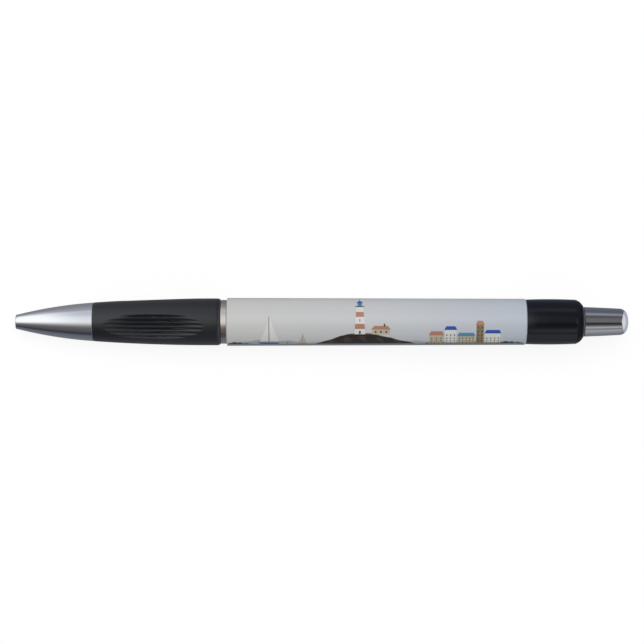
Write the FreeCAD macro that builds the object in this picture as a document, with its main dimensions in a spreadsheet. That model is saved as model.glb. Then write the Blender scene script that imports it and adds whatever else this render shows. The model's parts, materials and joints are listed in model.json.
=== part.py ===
import FreeCAD, Part
import Sketcher
import math
import os
import re

from FreeCAD import Placement, Rotation, Vector

os.makedirs("parts", exist_ok=True)
doc = FreeCAD.newDocument("ClickPen")

# The pen is drawn along X, with its mouth at X = 0 and its button towards +X, the clip below at -Z.
# Lengths are in millimetres, angles in degrees, and radii end in _r.
sizes = {
    # nose cone
    "nose_len": 17.7,
    "nose_mouth_r": 1.63,
    "nose_back_r": 4.41,
    "nose_bulge": 0.4,
    "nose_bore_r": 1.2,
    "nose_lip": 0.22,
    # rubber grip
    "grip_len": 29.15,
    "grip_front_r": 4.45,
    "grip_back_r": 5.36,
    "grip_bulge": 0.25,
    "grip_front_edge": 0.3,
    "grip_back_edge": 0.9,
    "grip_back_drop": 0.5,
    "pad_start": 1.75,
    "pad_len": 24.4,
    "pad_depth": 0.58,
    "pad_turn": 14.3,
    "pad_spread": 128.0,
    "groove_depth": 0.35,
    "groove_wide": 0.68,
    "groove_pitch": 1.02,
    "groove_count": 6,
    "groove_fade": 0.06,
    # front core inside the grip
    "core_r": 3.5,
    "core_neck_r": 2.85,
    "core_neck_len": 5.0,
    "core_thread_len": 9.0,
    "spring_room_r": 2.35,
    # bright centre bush
    "ring_len": 1.45,
    "ring_r": 5.0,
    "ring_edge": 0.15,
    "bush_len": 8.2,
    # printed barrel
    "barrel_len": 68.2,
    "barrel_front_r": 5.48,
    "barrel_back_r": 5.26,
    "barrel_bore_r": 4.2,
    "barrel_edge": 0.45,
    # rear collar
    "collar_len": 13.05,
    "collar_front_r": 5.1,
    "collar_back_r": 5.05,
    "collar_bulge": 0.12,
    "collar_chamfer": 1.85,
    "collar_shoulder_r": 4.2,
    "collar_end_wall": 1.2,
    "collar_end_land": 0.06,
    "collar_room_r": 3.95,
    "spigot_len": 12.5,
    # clip
    "clip_reach": 9.0,
    "clip_root_len": 7.2,
    "clip_root_back": 2.6,
    "clip_len": 36.0,
    "clip_wide": 5.2,
    "clip_end_wide": 3.6,
    "clip_thick": 1.6,
    "clip_foot_len": 5.4,
    "clip_foot_wide": 3.2,
    "clip_foot_deep": 0.6,
    "clip_nib_len": 3.2,
    "clip_nib_gap": 0.3,
    "clip_nib_ramp": 1.0,
    "clip_nib_crown": 0.15,
    "clip_edge": 0.45,
    "clip_fillet_len": 1.2,
    "clip_fillet_r": 1.6,
    "clip_tip_lift": 0.6,
    "clip_tip_edge": 0.4,
    "clip_tip_len": 1.3,
    "clip_tip_r": 1.7,
    "clip_tip_flat": 0.72,
    # push button
    "button_out": 10.35,
    "button_r": 3.43,
    "button_end_r": 3.02,
    "button_bulge": 0.03,
    "button_round": 1.9,
    "button_round_r": 1.88,
    "button_dome": 0.32,
    "button_dome_r": 1.8,
    "button_wall": 0.5,
    # click mechanism
    "press_travel": 6.5,
    "latch_travel": 5.0,
    "guide_r": 3.6,
    "guide_flange_len": 1.2,
    "guide_front_len": 5.0,
    "guide_wall": 0.45,
    "cam_r": 2.35,
    "cam_hole_r": 1.55,
    "fin_r": 3.0,
    "fin_wide": 1.2,
    "fin_len": 3.0,
    "crown_deep": 0.8,
    "crown_half": 0.92,
    "crown_gap": 0.15,
    "notch_deep": 0.8,
    "notch_wide": 2.2,
    "rotor_front": 8.8,
    "tube_seat_deep": 4.0,
    "rib_start": 1.3,
    "rib_len": 4.4,
    "flange_r": 3.85,
    "flange_len": 1.4,
    "stem_len": 8.3,
    "plunger_bore_len": 20.0,
    # refill
    "ball_setback": 2.2,
    "ball_r": 0.5,
    "ball_show": 0.18,
    "socket_lip": 0.12,
    "point_cone_len": 3.0,
    "point_r": 1.12,
    "point_len": 11.0,
    "point_flange_len": 0.5,
    "point_shank_len": 3.6,
    "ink_channel_r": 0.3,
    "tube_r": 1.5,
    "tube_bore_r": 1.05,
    "ink_headroom": 13.9,
    "ear_r": 2.05,
    "ear_len": 0.9,
    "ear_wide": 0.8,
    # return spring
    "spring_seat": 6.5,
    "spring_len": 16.0,
    "spring_r": 2.15,
    "wire_r": 0.19,
    "spring_turns": 9,
    # fits
    "snug": 0.03,
    "slip": 0.05,
    "mouth_slip": 0.08,
    "stop_gap": 0.25,
    # how deep a pad starts inside the form that it joins, and how far a cut reaches past it
    "weld": 0.3,
    "cut_over": 1.0,
}

sheet = doc.addObject("Spreadsheet::Sheet", "Sizes")
for row, (name, number) in enumerate(sizes.items(), start=1):
    sheet.set(f"A{row}", name)
    sheet.set(f"B{row}", str(number))
    sheet.setAlias(f"B{row}", name)
doc.recompute()

# Stations along the pen, each worked out from the one before.
grip_at = "nose_len"
ring_at = f"({grip_at} + grip_len)"
barrel_at = f"({ring_at} + ring_len)"
collar_at = f"({barrel_at} + barrel_len)"
collar_end = f"({collar_at} + collar_len)"
pen_end = f"({collar_end} + button_out)"
spigot_at = f"({collar_at} - spigot_len)"
end_wall_at = f"({collar_end} - collar_end_wall)"
point_flange_at = "(ball_setback + point_len)"
tube_at = f"({point_flange_at} + point_flange_len)"
ear_at = "(spring_seat + spring_len)"
guide_ribs_at = f"({spigot_at} + guide_front_len)"
fin_end = f"({guide_ribs_at} + latch_travel)"
rotor_at = f"({fin_end} - rotor_front)"
tube_end = f"({rotor_at} + tube_seat_deep)"
crown_at = f"({fin_end} - crown_deep + crown_gap)"
flange_back = f"({end_wall_at} - slip)"
flange_at = f"({flange_back} - flange_len)"
guide_end = f"({flange_at} - press_travel - stop_gap)"
button_bore_r = "(button_end_r - button_wall)"
clip_at = f"({collar_end} - clip_root_back)"
rib_groove_r = "(fin_r + slip)"
guide_bore_r = "(cam_r + 2 * slip)"


# A size or a sum of sizes, as an expression that the sheet understands.
def bound(text):
    return re.sub(r"[a-z]\w*", lambda word: sheet_name(word.group(0)), text)


def sheet_name(word):
    return f"Sizes.{word}" if word in sizes else word


def value(text):
    return float(sheet.evalExpression(bound(text)))


def new_body(label):
    body = doc.addObject("PartDesign::Body", label)
    body.Label = label
    return body


def plane_of(body, role):
    return next(feature for feature in body.Origin.OriginFeatures if feature.Role == role)


# A sketch on one of the body's own planes, turned about the pen's axis and lifted off it.
def new_sketch(body, plane, turn=0.0, lift=""):
    sketch = body.newObject("Sketcher::SketchObject", "Sketch")
    sketch.AttachmentSupport = [(plane_of(body, plane), "")]
    sketch.MapMode = "FlatFace"
    rotation = Rotation(Vector(1, 0, 0), turn)
    height = value(lift) if lift else 0.0
    sketch.AttachmentOffset = Placement(rotation.multVec(Vector(0, 0, height)), rotation)
    return sketch


def bind(sketch, kind, geometry, end, text):
    if text == "0":
        axis = -1 if kind == "DistanceY" else -2
        sketch.addConstraint(Sketcher.Constraint("PointOnObject", geometry, end, axis))
        return
    index = sketch.addConstraint(Sketcher.Constraint(kind, -1, 1, geometry, end, value(text)))
    sketch.setExpression(f"Constraints[{index}]", bound(text))


# A closed outline through corners of (x, y). A corner of (x, y, radius, side) is reached by an arc
# whose centre lies on that side of the way there.
def draw(sketch, corners):
    places = [Vector(value(corner[0]), value(corner[1]), 0) for corner in corners]
    ends = []
    for index, corner in enumerate(corners):
        start, end = places[index - 1], places[index]
        if len(corner) == 2:
            ends.append((sketch.addGeometry(Part.LineSegment(start, end), False), 1, 2))
            continue
        radius, side = value(corner[2]), corner[3]
        chord = end - start
        middle = (start + end) * 0.5
        across = Vector(-chord.y, chord.x, 0).normalize() * (1 if side == "left" else -1)
        centre = middle + across * math.sqrt(max(radius**2 - (chord.Length / 2) ** 2, 0))
        first, last = (start, end) if side == "left" else (end, start)
        turns = [math.atan2(p.y - centre.y, p.x - centre.x) for p in (first, last)]
        circle = Part.Circle(centre, Vector(0, 0, 1), radius)
        arc = sketch.addGeometry(Part.ArcOfCircle(circle, turns[0], turns[1]), False)
        ends.append((arc, 1, 2) if side == "left" else (arc, 2, 1))
    for index, corner in enumerate(corners):
        geometry, start, end = ends[index]
        after, after_start, after_end = ends[(index + 1) % len(ends)]
        sketch.addConstraint(Sketcher.Constraint("Coincident", geometry, end, after, after_start))
        bind(sketch, "DistanceX", geometry, end, corner[0])
        bind(sketch, "DistanceY", geometry, end, corner[1])
        if len(corner) > 2:
            radius = sketch.addConstraint(Sketcher.Constraint("Radius", geometry, value(corner[2])))
            sketch.setExpression(f"Constraints[{radius}]", bound(corner[2]))
    return sketch


# The radius of an arc with a given chord along X, a rise along Y and a bulge over the chord.
def bulge_r(along, rise, bulge):
    return f"((({along})^2 + ({rise})^2) / (8 * {bulge}) + {bulge} / 2)"


def turn_profile(body, corners):
    sketch = draw(new_sketch(body, "XZ_Plane"), corners)
    revolution = body.newObject("PartDesign::Revolution", "Turned")
    revolution.Profile = sketch
    revolution.ReferenceAxis = (sketch, ["H_Axis"])
    revolution.Angle = 360
    doc.recompute()
    return revolution


# Adds or cuts a straight-sided shape: to one side by a length, or evenly to both sides.
def extrude(body, kind, sketch, length, both=False, reverse=False):
    feature = body.newObject(f"PartDesign::{kind}", kind)
    feature.Profile = sketch
    feature.Type = "Length"
    feature.SideType = "Symmetric" if both else "One side"
    feature.setExpression("Length", bound(length))
    feature.Reversed = reverse
    before = body_volume(body, feature)
    doc.recompute()
    change = feature.Shape.Volume - before
    if (kind == "Pocket") != (change < 0) or abs(change) < 1e-4:
        raise RuntimeError(f"{body.Label}: {feature.Name} changes nothing")
    return feature


def body_volume(body, feature):
    doc.recompute()
    return feature.BaseFeature.Shape.Volume if feature.BaseFeature else 0.0


def pattern(body, features, count):
    polar = body.newObject("PartDesign::PolarPattern", "Around")
    polar.Originals = features
    polar.Axis = (plane_of(body, "X_Axis"), [""])
    polar.Angle = 360
    polar.setExpression("Occurrences", bound(count))
    body.Tip = polar
    doc.recompute()
    return polar


# nose cone: a bulged metal shell with the spring's seat inside and a socket for the core's neck
nose_cone = new_body("nose_cone")
neck_socket = f"({grip_at} - core_neck_len)"
turn_profile(
    nose_cone,
    [
        ("0", "nose_bore_r"),
        ("0", "nose_mouth_r - nose_lip"),
        ("nose_lip", "nose_mouth_r", "nose_lip", "right"),
        (
            grip_at,
            "nose_back_r",
            bulge_r("nose_len - nose_lip", "nose_back_r - nose_mouth_r", "nose_bulge"),
            "right",
        ),
        (grip_at, "core_neck_r + snug"),
        (neck_socket, "core_neck_r + snug"),
        (neck_socket, "spring_room_r"),
        ("spring_seat", "spring_room_r"),
        ("spring_seat", "nose_bore_r"),
    ],
)

# front core: the tube under the rubber, with a neck for the cone and a thread for the bush
front_core = new_body("front_core")
turn_profile(
    front_core,
    [
        (neck_socket, "spring_room_r"),
        (neck_socket, "core_neck_r"),
        (grip_at, "core_neck_r"),
        (grip_at, "core_r"),
        (f"{ring_at} + core_thread_len", "core_r"),
        (f"{ring_at} + core_thread_len", "spring_room_r"),
    ],
)

# grip sleeve: a bulged rubber sleeve with finger pads, each a shallow scoop with lengthwise grooves
grip_sleeve = new_body("grip_sleeve")
grip_back = f"({ring_at} - grip_back_edge)"
grip_rise = "(grip_back_r - grip_front_r)"
grip_run = "(grip_len - grip_front_edge - grip_back_edge)"
turn_profile(
    grip_sleeve,
    [
        (grip_at, "core_r + snug"),
        (grip_at, "grip_front_r - grip_front_edge"),
        (f"{grip_at} + grip_front_edge", "grip_front_r", "grip_front_edge", "right"),
        (grip_back, "grip_back_r", bulge_r(grip_run, grip_rise, "grip_bulge"), "right"),
        (ring_at, "grip_back_r - grip_back_drop", "grip_back_edge", "right"),
        (ring_at, "core_r + snug"),
    ],
)


# The radius of the grip where a pad starts or ends, on the straight line under its bulge.
def grip_radius(along):
    return f"(grip_front_r + {grip_rise} * ({along} - grip_front_edge) / {grip_run})"


# One side cut of a pad: an arc that dips below the grip's surface between the pad's two ends.
def pad_cut(turn, lift, depth, width):
    start, stop = "pad_start", "(pad_start + pad_len)"
    rise = f"({grip_radius(stop)} - {grip_radius(start)})"
    clear = f"({grip_at} + {start})", f"({grip_at} + {stop})"
    sketch = new_sketch(grip_sleeve, "XZ_Plane", turn, lift)
    draw(
        sketch,
        [
            (clear[1], "grip_back_r + cut_over"),
            (clear[0], "grip_back_r + cut_over"),
            (clear[0], f"{grip_radius(start)} + grip_bulge"),
            (
                clear[1],
                f"{grip_radius(stop)} + grip_bulge",
                bulge_r("pad_len", rise, depth),
                "left",
            ),
        ],
    )
    return extrude(grip_sleeve, "Pocket", sketch, width, both=True)


scoop_deep = "(pad_depth + grip_bulge)"
groove_count = sizes["groove_count"]
for side in (0, 1, -1):
    turn = value(f"pad_turn + pad_spread * {side}")
    pad_cut(turn, "", scoop_deep, "grip_back_r * 2")
    for groove in range(groove_count):
        offset = groove - (groove_count - 1) / 2
        deeper = f"({scoop_deep} + groove_depth - groove_fade * {abs(offset)})"
        pad_cut(turn, f"groove_pitch * {offset}", deeper, "groove_wide")

# centre bush: the bright ring between grip and barrel, with a sleeve that the core screws into
centre_bush = new_body("centre_bush")
turn_profile(
    centre_bush,
    [
        (ring_at, "core_r + snug"),
        (ring_at, "ring_r - ring_edge"),
        (f"{ring_at} + ring_edge", "ring_r"),
        (f"{barrel_at} - ring_edge", "ring_r"),
        (barrel_at, "ring_r - ring_edge"),
        (barrel_at, "barrel_bore_r - snug"),
        (f"{barrel_at} + bush_len", "barrel_bore_r - snug"),
        (f"{barrel_at} + bush_len", "core_r + snug"),
    ],
)

# barrel: a slightly tapered tube, square at the front and rounded at the rear
barrel = new_body("barrel")
turn_profile(
    barrel,
    [
        (barrel_at, "barrel_bore_r"),
        (barrel_at, "barrel_front_r"),
        (f"{collar_at} - barrel_edge", "barrel_back_r"),
        (collar_at, "barrel_back_r - barrel_edge", "barrel_edge", "right"),
        (collar_at, "barrel_bore_r"),
    ],
)

# collar: a glossy rear housing whose spigot fits the barrel and whose end wall traps the plunger
collar = new_body("collar")
chamfer_at = f"({collar_end} - collar_chamfer)"
mouth_r = "(button_r + mouth_slip)"
land_r = f"({mouth_r} + collar_end_land)"
turn_profile(
    collar,
    [
        (spigot_at, "guide_r + snug"),
        (spigot_at, "barrel_bore_r - snug"),
        (collar_at, "barrel_bore_r - snug"),
        (collar_at, "collar_front_r"),
        (
            chamfer_at,
            "collar_back_r",
            bulge_r("collar_len - collar_chamfer", "collar_front_r - collar_back_r", "collar_bulge"),
            "right",
        ),
        (collar_end, land_r, "collar_shoulder_r", "right"),
        (collar_end, mouth_r),
        (end_wall_at, mouth_r),
        (end_wall_at, "collar_room_r"),
        (guide_end, "collar_room_r"),
        (guide_end, "guide_r + snug"),
    ],
)
slot_back = f"({clip_at} - (clip_root_len - clip_foot_len) / 2)"
slot_floor = "(collar_back_r - clip_foot_deep)"
slot = new_sketch(collar, "XZ_Plane")
draw(
    slot,
    [
        (f"{slot_back} + snug", f"-({slot_floor} - snug)"),
        (f"{slot_back} + snug", "-(collar_front_r + cut_over)"),
        (f"{slot_back} - clip_foot_len - snug", "-(collar_front_r + cut_over)"),
        (f"{slot_back} - clip_foot_len - snug", f"-({slot_floor} - snug)"),
    ],
)
extrude(collar, "Pocket", slot, "clip_foot_wide + 2 * snug", both=True)


# How far the grip's surface stands off the pen's axis at a distance along the pen.
def grip_surface(along):
    run = value(grip_run)
    rise = value(grip_rise)
    radius = value(bulge_r(grip_run, grip_rise, "grip_bulge"))
    start = value(f"{grip_at} + grip_front_edge")
    lean = math.atan2(rise, run)
    half = math.hypot(rise, run) / 2
    drop = math.sqrt(radius**2 - half**2)
    centre_x = start + run / 2 + drop * math.sin(lean)
    centre_r = sizes["grip_front_r"] + rise / 2 - drop * math.cos(lean)
    return centre_r + math.sqrt(radius**2 - (along - centre_x) ** 2)


# The pen rests on the clip's outer face and on the lowest point ahead of it. The slope is that of the
# tabletop as seen from the pen's axis.
def rest_slope():
    root = value(clip_at)
    grip_start, grip_stop = value(f"{grip_at} + grip_front_edge"), value(grip_back)
    steps = 400
    low = [grip_start + (grip_stop - grip_start) * step / steps for step in range(steps + 1)]
    touch = [(along, grip_surface(along)) for along in low]
    touch.append((value(grip_at), sizes["nose_back_r"]))
    touch.append((value(barrel_at), sizes["barrel_front_r"]))
    touch.append((value(collar_at), sizes["collar_front_r"]))
    return min((sizes["clip_reach"] - radius) / (root - along) for along, radius in touch)


slope = rest_slope()

# clip: an arm parallel to the tabletop with a root block, a foot in the collar's slot and a nib at
# its free end
clip = new_body("clip")
clip_end = f"({clip_at} - clip_len)"
clip_root = f"({clip_at} - clip_root_len)"


# The depth of the clip's outer face below the axis at a distance along the pen.
def face_depth(along):
    return f"(clip_reach - ({clip_at} - {along}) * {slope})"


def barrel_surface(along):
    drop = f"({along} - {barrel_at}) / (barrel_len - barrel_edge)"
    return f"(barrel_front_r - (barrel_front_r - barrel_back_r) * {drop})"


root_depth = f"(collar_front_r + clip_nib_gap)"
side = new_sketch(clip, "XZ_Plane")
nib_back = f"({clip_end} + clip_nib_len)"
nib_top = f"({barrel_surface(nib_back)} + clip_nib_gap)"
tip_round = f"({clip_end} + clip_tip_edge)"
draw(
    side,
    [
        (f"{clip_at} - clip_edge", f"-{face_depth(f'({clip_at} - clip_edge)')}"),
        (clip_at, f"-({face_depth(clip_at)} - clip_edge)", "clip_edge", "left"),
        (clip_at, f"-{root_depth}"),
        (clip_root, f"-{root_depth}"),
        (
            f"{clip_root} - clip_fillet_len",
            f"-({face_depth(clip_root)} - clip_thick)",
            "clip_fillet_r",
            "right",
        ),
        (f"{nib_back} + clip_nib_ramp", f"-({face_depth(nib_back)} - clip_thick)"),
        (nib_back, f"-({nib_top} + clip_nib_crown)"),
        (f"{clip_end} + clip_nib_len / 2", f"-{nib_top}", "clip_nib_len", "right"),
        (clip_end, f"-({nib_top} + clip_tip_lift)", "clip_nib_len", "right"),
        (clip_end, f"-({face_depth(clip_end)} - clip_tip_edge)"),
        (f"{clip_end} + clip_tip_edge", f"-{face_depth(tip_round)}", "clip_tip_edge", "left"),
    ],
)
extrude(clip, "Pad", side, "clip_wide", both=True)
# the arm narrows towards its free end, which is rounded in plan
for hand in (1, -1):
    plan = new_sketch(clip, "XY_Plane")
    side_of = "" if hand == 1 else "-"
    wide = f"{side_of}clip_wide / 2"
    narrow = f"{side_of}clip_end_wide / 2"
    tip = f"{side_of}clip_tip_flat"
    over = f"{side_of}clip_wide"
    draw(
        plan,
        [
            (clip_root, wide),
            (f"{clip_end} + clip_tip_len", narrow),
            (clip_end, tip, "clip_tip_r", "left" if hand == 1 else "right"),
            (f"{clip_end} - cut_over", tip),
            (f"{clip_end} - cut_over", over),
            (clip_root, over),
        ],
    )
    extrude(clip, "Pocket", plan, "2 * (clip_reach + cut_over)", both=True)
foot = new_sketch(clip, "XZ_Plane")
draw(
    foot,
    [
        (slot_back, f"-{slot_floor}"),
        (slot_back, f"-({root_depth} + weld)"),
        (f"{slot_back} - clip_foot_len", f"-({root_depth} + weld)"),
        (f"{slot_back} - clip_foot_len", f"-{slot_floor}"),
    ],
)
extrude(clip, "Pad", foot, "clip_foot_wide", both=True)

# push button: a drawn cap with a domed end, open at its base for the plunger's stem
button = new_body("button")
round_at = f"({pen_end} - button_round)"
dome_at = f"({pen_end} - button_dome)"
dome_ball = "((button_dome_r^2 + button_dome^2) / (2 * button_dome))"
button_run = f"({round_at} - {end_wall_at})"
turn_profile(
    button,
    [
        (flange_back, button_bore_r),
        (flange_back, "button_r"),
        (
            round_at,
            "button_end_r",
            bulge_r(button_run, "button_r - button_end_r", "button_bulge"),
            "right",
        ),
        (dome_at, "button_dome_r", "button_round_r", "right"),
        (pen_end, "0", dome_ball, "right"),
        (f"{flange_back} + stem_len + slip", "0"),
        (f"{flange_back} + stem_len + slip", button_bore_r),
    ],
)

# plunger: a hollow thrust cam with a toothed crown, guide ribs, a stop flange and the button's stem
plunger = new_body("plunger")
turn_profile(
    plunger,
    [
        (crown_at, "cam_hole_r"),
        (crown_at, "cam_r"),
        (flange_at, "cam_r"),
        (flange_at, "flange_r"),
        (flange_back, "flange_r"),
        (flange_back, f"{button_bore_r} - snug"),
        (f"{flange_back} + stem_len", f"{button_bore_r} - snug"),
        (f"{flange_back} + stem_len", "0"),
        (f"{crown_at} + plunger_bore_len", "0"),
        (f"{crown_at} + plunger_bore_len", "cam_hole_r"),
    ],
)


# A straight fin or rib along the pen, standing out of a round shaft.
def fin(body, start, length):
    sketch = new_sketch(body, "XY_Plane", 0, "cam_r - weld")
    draw(
        sketch,
        [
            (start, "-fin_wide / 2"),
            (f"{start} + {length}", "-fin_wide / 2"),
            (f"{start} + {length}", "fin_wide / 2"),
            (start, "fin_wide / 2"),
        ],
    )
    return extrude(body, "Pad", sketch, "fin_r - cam_r + weld")


# A V-shaped cut right across a crown, which leaves pointed teeth between its repeats.
def crown_cut(body, face, inward, turn):
    sketch = new_sketch(body, "XY_Plane", turn)
    over = f"{face} - cut_over * {inward}"
    draw(
        sketch,
        [
            (f"{face} + crown_deep * {inward}", "0"),
            (face, "crown_half"),
            (over, "crown_half"),
            (over, "-crown_half"),
            (face, "-crown_half"),
        ],
    )
    return extrude(body, "Pocket", sketch, "2 * (fin_r + cut_over)", both=True)


fin_count = 4
pattern(plunger, [fin(plunger, f"({crown_at} + rib_start)", "rib_len")], str(fin_count))
pattern(plunger, [crown_cut(plunger, crown_at, "1", 0)], str(2 * fin_count))

# rotor: the indexing cam behind the refill, with four fins and a crown that meets the plunger's
rotor = new_body("rotor")
turn_profile(
    rotor,
    [
        (rotor_at, "tube_r + snug"),
        (rotor_at, "cam_r"),
        (fin_end, "cam_r"),
        (fin_end, "cam_hole_r"),
        (f"{fin_end} - fin_len", "cam_hole_r"),
        (f"{fin_end} - fin_len", "0"),
        (tube_end, "0"),
        (tube_end, "tube_r + snug"),
    ],
)
pattern(rotor, [fin(rotor, f"({fin_end} - fin_len)", "fin_len")], str(fin_count))
pattern(rotor, [crown_cut(rotor, fin_end, "-1", 180 / (2 * fin_count))], str(2 * fin_count))

# cam guide: a fixed sleeve with grooves for the fins and notched ribs that hold them when latched
cam_guide = new_body("cam_guide")
turn_profile(
    cam_guide,
    [
        (f"{spigot_at} - guide_flange_len", "guide_r - guide_wall"),
        (f"{spigot_at} - guide_flange_len", "barrel_bore_r - 2 * slip"),
        (spigot_at, "barrel_bore_r - 2 * slip"),
        (spigot_at, "guide_r"),
        (guide_end, "guide_r"),
        (guide_end, guide_bore_r),
        (guide_ribs_at, guide_bore_r),
        (guide_ribs_at, "guide_r - guide_wall"),
    ],
)
groove = new_sketch(cam_guide, "XY_Plane")
draw(
    groove,
    [
        (f"{guide_ribs_at} - cut_over", "-(fin_wide / 2 + slip)"),
        (f"{guide_end} + cut_over", "-(fin_wide / 2 + slip)"),
        (f"{guide_end} + cut_over", "fin_wide / 2 + slip"),
        (f"{guide_ribs_at} - cut_over", "fin_wide / 2 + slip"),
    ],
)
grooves = extrude(cam_guide, "Pocket", groove, rib_groove_r, reverse=True)
pattern(cam_guide, [grooves], str(fin_count))
notch = new_sketch(cam_guide, "XY_Plane", 180 / fin_count)
draw(
    notch,
    [
        (guide_ribs_at, "-notch_wide / 2"),
        (f"{guide_ribs_at} + notch_deep", "notch_wide / 2"),
        (f"{guide_ribs_at} - cut_over", "notch_wide / 2"),
        (f"{guide_ribs_at} - cut_over", "-notch_wide / 2"),
    ],
)
notches = extrude(cam_guide, "Pocket", notch, rib_groove_r, reverse=True)
pattern(cam_guide, [notches], str(fin_count))

# refill tube with its ears
refill_tube = new_body("refill_tube")
turn_profile(
    refill_tube,
    [
        (tube_at, "tube_bore_r"),
        (tube_at, "tube_r"),
        (tube_end, "tube_r"),
        (tube_end, "tube_bore_r"),
    ],
)
ear = new_sketch(refill_tube, "XY_Plane", 0, "tube_r - weld")
draw(
    ear,
    [
        (ear_at, "-ear_wide / 2"),
        (f"{ear_at} + ear_len", "-ear_wide / 2"),
        (f"{ear_at} + ear_len", "ear_wide / 2"),
        (ear_at, "ear_wide / 2"),
    ],
)
pattern(refill_tube, [extrude(refill_tube, "Pad", ear, "ear_r - tube_r + weld")], "4")

# ink in the tube, behind the point's shank
ink_column = new_body("ink_column")
turn_profile(
    ink_column,
    [
        (f"{tube_at} + point_shank_len", "0"),
        (f"{tube_at} + point_shank_len", "tube_bore_r - snug"),
        (f"{tube_end} - ink_headroom", "tube_bore_r - snug"),
        (f"{tube_end} - ink_headroom", "0"),
    ],
)

# writing point: a turned cone with a ball socket, a stem, a flange and a shank pressed into the tube
writing_point = new_body("writing_point")
ball_at = "(ball_setback + ball_r)"
socket_r = "(ball_r + slip)"
lip_at = "(ball_setback + ball_show)"
lip_r = f"sqrt({socket_r}^2 - ({ball_at} - {lip_at})^2)"
channel_at = f"({ball_at} + sqrt({socket_r}^2 - ink_channel_r^2))"
turn_profile(
    writing_point,
    [
        (channel_at, "ink_channel_r"),
        (lip_at, lip_r, socket_r, "left"),
        (lip_at, f"{lip_r} + socket_lip"),
        (f"{lip_at} + point_cone_len", "point_r"),
        (point_flange_at, "point_r"),
        (point_flange_at, "tube_r"),
        (tube_at, "tube_r"),
        (tube_at, "tube_bore_r - snug"),
        (f"{tube_at} + point_shank_len", "tube_bore_r - snug"),
        (f"{tube_at} + point_shank_len", "ink_channel_r"),
    ],
)

# writing ball
ball = new_body("ball")
ball_solid = ball.newObject("PartDesign::AdditiveSphere", "Ball")
ball_solid.AttachmentSupport = [(plane_of(ball, "XY_Plane"), "")]
ball_solid.MapMode = "FlatFace"
ball_solid.setExpression("Radius", bound("ball_r"))
ball_solid.setExpression("AttachmentOffset.Base.x", bound(ball_at))
doc.recompute()

# return spring between the nose seat and the ears, its round wire drawn with six flats
return_spring = new_body("return_spring")
coil_r = "(spring_r - wire_r)"
wire = new_sketch(return_spring, "XZ_Plane")
wire_sides = 6
wire_corners = []
for corner in range(wire_sides):
    turn = 2 * math.pi * corner / wire_sides
    along = f"spring_seat + slip + wire_r + wire_r * {math.cos(turn):.6f}"
    wire_corners.append((along, f"{coil_r} + wire_r * {math.sin(turn):.6f}"))
draw(wire, wire_corners)
helix = return_spring.newObject("PartDesign::AdditiveHelix", "Coil")
helix.Profile = wire
helix.ReferenceAxis = (wire, ["H_Axis"])
helix.Mode = "height-turns-angle"
helix.setExpression("Height", bound("spring_len - 2 * (wire_r + slip)"))
helix.setExpression("Turns", bound("spring_turns"))
helix.Angle = 0
doc.recompute()

parts = [
    nose_cone,
    front_core,
    grip_sleeve,
    centre_bush,
    barrel,
    collar,
    clip,
    button,
    plunger,
    rotor,
    cam_guide,
    refill_tube,
    ink_column,
    writing_point,
    ball,
    return_spring,
]

# The rest pose: the nose dips until the clip's outer face lies on the tabletop at Z = 0, and the pen's
# extent along X is centred.
lean = math.atan(slope)
dip = Rotation(Vector(0, 1, 0), -math.degrees(lean))
lift = math.cos(lean) * (sizes["clip_reach"] - slope * value(clip_at))
front = -math.sin(lean) * value("nose_mouth_r - nose_lip")
dome = value(dome_ball)
back = math.cos(lean) * (value(pen_end) - dome) + dome
rest = Placement(Vector(-(front + back) / 2, 0, lift), dip)
for part in parts:
    part.Placement = rest.multiply(part.Placement)
doc.recompute()

for item in doc.Objects:
    if "Invalid" in item.State or "Error" in item.State:
        raise RuntimeError(f"{item.Label} did not build: {item.State}")
for part in parts:
    shape = part.Shape
    if shape.isNull() or not shape.isValid() or len(shape.Solids) != 1:
        raise RuntimeError(f"{part.Label} is not one valid solid")

for part in parts:
    part.Shape.exportStep(f"parts/{part.Label}.step")
    box = part.Shape.optimalBoundingBox(False)
    reach = f"X {box.XMin:.3f} to {box.XMax:.3f}, Z {box.ZMin:.3f} to {box.ZMax:.3f}"
    print(f"{part.Label}: {part.Shape.Volume:.2f} mm3, {reach}")
print(f"rest angle {math.degrees(lean):.6f} degrees, moved {rest.Base.x:.4f}, {rest.Base.z:.4f}")
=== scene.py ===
import json
import math

import bmesh
import bpy
import numpy as np
from mathutils import Matrix, Vector, geometry


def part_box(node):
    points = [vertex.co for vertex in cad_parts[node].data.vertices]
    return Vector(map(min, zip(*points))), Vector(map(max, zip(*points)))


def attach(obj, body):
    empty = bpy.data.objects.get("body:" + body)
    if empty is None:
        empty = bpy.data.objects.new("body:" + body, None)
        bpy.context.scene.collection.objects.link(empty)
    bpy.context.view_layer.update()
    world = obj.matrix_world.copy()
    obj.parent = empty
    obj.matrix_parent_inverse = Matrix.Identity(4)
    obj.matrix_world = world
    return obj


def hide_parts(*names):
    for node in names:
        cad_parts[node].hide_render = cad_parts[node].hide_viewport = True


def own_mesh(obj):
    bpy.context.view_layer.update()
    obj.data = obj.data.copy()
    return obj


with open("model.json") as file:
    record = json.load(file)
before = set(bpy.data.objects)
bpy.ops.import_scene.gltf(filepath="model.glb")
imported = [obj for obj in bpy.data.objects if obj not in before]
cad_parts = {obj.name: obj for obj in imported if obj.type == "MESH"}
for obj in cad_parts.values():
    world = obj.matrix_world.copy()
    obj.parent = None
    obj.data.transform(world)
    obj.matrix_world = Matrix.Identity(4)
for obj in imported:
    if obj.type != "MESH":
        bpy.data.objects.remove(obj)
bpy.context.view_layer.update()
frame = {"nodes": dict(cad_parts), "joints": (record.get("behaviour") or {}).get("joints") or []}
print("frame loaded")

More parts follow.
